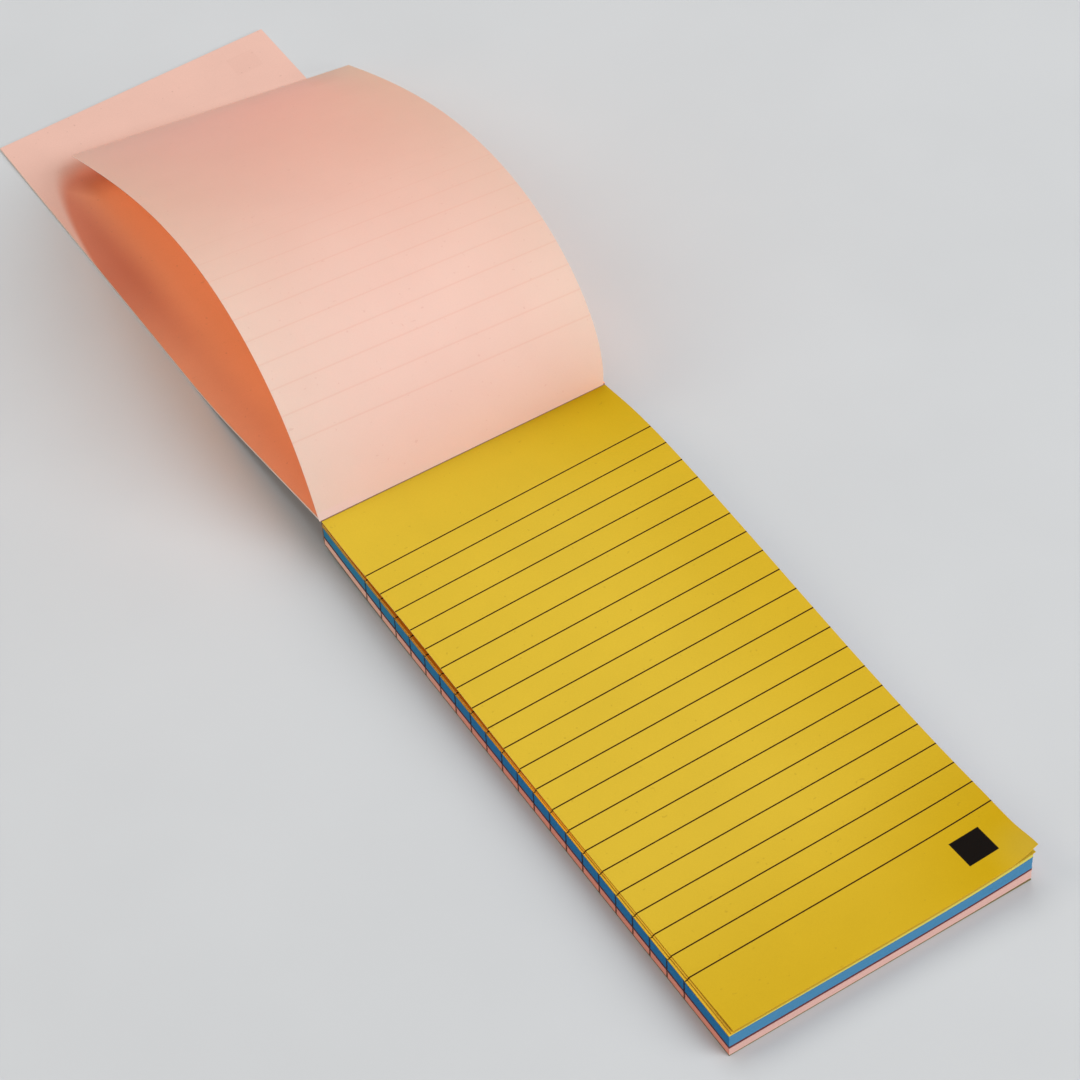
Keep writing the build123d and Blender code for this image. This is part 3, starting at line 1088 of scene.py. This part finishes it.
class NOTEPAD_OT_arched_sheet(bpy.types.Operator):
    """Make the single sheet that stands up in an arch behind the pad"""

    bl_idname = "notepad.arched_sheet"
    bl_label = "Arched sheet"

    def execute(self, context):
        left_rise = ARCH_END_HEIGHT_LEFT - glue_top(0) - SEAT
        right_rise = ARCH_END_HEIGHT_RIGHT - glue_top(1) - SEAT
        left = arch_path(ARCH_ROOT_SLOPE_LEFT, ARCH_BEND_LEFT, ARCH_POWER_LEFT, left_rise)
        right = arch_path(ARCH_ROOT_SLOPE_RIGHT, ARCH_BEND_RIGHT, ARCH_POWER_RIGHT, right_rise)
        over = sin(radians(ARCH_DRIFT))
        on = cos(radians(ARCH_DRIFT))
        width = sizes().width / MM
        length = sizes().length / MM
        root_y = length / 2 + GLUE_THICK / 2

        def underside(share, run):
            way = length - run
            forward, up = between(left, right, share, way / length)
            x = mix(-width / 2, width / 2, share) + ARCH_SHIFT + over * way * (1 - BOUND_STRIP / length)
            return (x, root_y + on * forward, glue_top(share) + SEAT + on * up)

        tints = (
            # Painted shade: darker and warmer towards the far end, and darker over the right upper part.
            run_tint(ARCH_FAR_SHADE, ARCH_FAR_SHADE_RUN),
            side_tint(ARCH_RIGHT_SHADE, ARCH_RIGHT_SHADE_ACROSS, ARCH_RIGHT_SHADE_RUN),
            root_tint(ARCH_ROOT),
        )
        outside_marks = {
            "ink": linear(ARCH_INK),
            "lines": 0.2,
            "plate": 0.06,
            "soft": SHOWN_THROUGH_SOFT,
            "fade": ARCH_PRINT_FADE,
        }
        inside_marks = {"ink": linear(colours().ink), "lines": 0.6, "plate": 0.7}
        outside = paper("arch_back", ARCH_OUTSIDE, tints, outside_marks, ARCH_THIN, ARCH_GLOW)
        # Painted glow: the inner face is painted deep orange for the light coming through the sheet.
        inside = paper("arch_front", ARCH_INSIDE_GLOW, (), inside_marks, ARCH_THIN_INSIDE, ARCH_GLOW)
        edge = paper("arch_edge", linear(ARCH_EDGE))
        point = bent_point(underside, -ARCH_THICK)
        piece = page_mesh("arched_page", point, ACROSS, ALONG, 1, (outside, inside, edge, edge))
        turn_out(piece)
        dress(piece, "arched_sheet")
        return {"FINISHED"}


class NOTEPAD_OT_card_and_glue(bpy.types.Operator):
    """Give the backing card and the film of glue their finish"""

    bl_idname = "notepad.card_and_glue"
    bl_label = "Card and glue"

    def execute(self, context):
        card = film("card_board", linear(colours().card), roughness=0.85, grain=0.12)
        glue = film("glue_film", linear(colours().glue), roughness=0.45, grain=0.04)
        for node, material in (("back_card", card), ("binding_glue", glue)):
            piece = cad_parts[node]
            for place in piece.material_slots:
                place.material = material
        return {"FINISHED"}


class NOTEPAD_OT_stage(bpy.types.Operator):
    """Set the pad on a pale table under soft light, seen from the front left"""

    bl_idname = "notepad.stage"
    bl_label = "Stage"

    def execute(self, context):
        mesh = bpy.data.meshes.new("table")
        half = TABLE_HALF
        corners = [(-half, -half, 0), (half, -half, 0), (half, half, 0), (-half, half, 0)]
        mesh.from_pydata(corners, [], [(0, 1, 2, 3)])
        table = bpy.data.objects.new("table", mesh)
        bpy.context.collection.objects.link(table)
        mesh.materials.append(table_material())

        world = bpy.data.worlds.new("room")
        world.use_nodes = True
        world.node_tree.nodes["Background"].inputs[0].default_value = ROOM_COLOUR
        world.node_tree.nodes["Background"].inputs[1].default_value = ROOM_STRENGTH
        context.scene.world = world
        for name, place, size, power, colour in LAMPS:
            add_lamp(name, place, size, power, colour)

        camera = bpy.data.cameras.new("camera")
        camera.sensor_width = CAMERA_SENSOR
        camera.lens = CAMERA_LENS
        camera.clip_start = 0.01
        holder = bpy.data.objects.new("camera", camera)
        holder.location = CAMERA_PLACE
        aim = Vector(CAMERA_AIM) - holder.location
        tilt = Matrix.Rotation(radians(CAMERA_TILT), 4, "Z")
        turn = aim.to_track_quat("-Z", "Y").to_matrix().to_4x4() @ tilt
        holder.rotation_euler = turn.to_euler()
        bpy.context.collection.objects.link(holder)
        context.scene.camera = holder
        context.scene.view_settings.view_transform = "Standard"
        return {"FINISHED"}


def table_material():
    material, nodes, shader = new_material("table_top")
    place = nodes.add("ShaderNodeTexCoord").outputs["Object"]
    cloud = nodes.steps(nodes.noise(place, TABLE_CLOUD_SCALE, 3.0), *TABLE_CLOUDS)
    tone = shaded(nodes, linear(colours().floor), cloud)
    nodes.join(tone, shader.inputs["Base Color"])
    shader.inputs["Roughness"].default_value = 0.7
    shader.inputs["Specular IOR Level"].default_value = 0.2
    close(nodes, shader)
    return material


def add_lamp(name, place, size, power, colour):
    """A round lamp that looks at the pad."""
    lamp = bpy.data.lights.new(name, "AREA")
    lamp.shape = "DISK"
    lamp.size = size
    lamp.energy = power
    lamp.color = colour
    holder = bpy.data.objects.new(name, lamp)
    holder.location = place
    holder.rotation_euler = (Vector(LAMP_AIM) - Vector(place)).to_track_quat("-Z", "Y").to_euler()
    bpy.context.collection.objects.link(holder)


class NOTEPAD_PT_panel(bpy.types.Panel):
    bl_label = "Notepad"
    bl_idname = "NOTEPAD_PT_panel"
    bl_space_type = "VIEW_3D"
    bl_region_type = "UI"
    bl_category = "Notepad"

    def draw(self, context):
        layout = self.layout
        for group in (context.scene.notepad_sizes, context.scene.notepad_colours):
            box = layout.box()
            for name in group.bl_rna.properties.keys():
                if name not in ("rna_type", "name"):
                    box.prop(group, name)
        for operator in OPERATORS:
            layout.operator(operator.bl_idname)


OPERATORS = (
    NOTEPAD_OT_stage,
    NOTEPAD_OT_pages,
    NOTEPAD_OT_top_sheets,
    NOTEPAD_OT_turned_pages,
    NOTEPAD_OT_arched_sheet,
    NOTEPAD_OT_card_and_glue,
)
CLASSES = (NotepadSizes, NotepadColours, *OPERATORS, NOTEPAD_PT_panel)


def register():
    for kind in CLASSES:
        bpy.utils.register_class(kind)
    bpy.types.Scene.notepad_sizes = bpy.props.PointerProperty(type=NotepadSizes)
    bpy.types.Scene.notepad_colours = bpy.props.PointerProperty(type=NotepadColours)


def unregister():
    del bpy.types.Scene.notepad_colours
    del bpy.types.Scene.notepad_sizes
    for kind in reversed(CLASSES):
        bpy.utils.unregister_class(kind)


def main():
    register()
    bpy.ops.notepad.stage()
    bpy.ops.notepad.pages()
    bpy.ops.notepad.top_sheets()
    bpy.ops.notepad.turned_pages()
    bpy.ops.notepad.arched_sheet()
    bpy.ops.notepad.card_and_glue()
    bpy.context.view_layer.update()


if __name__ == "__main__":
    main()
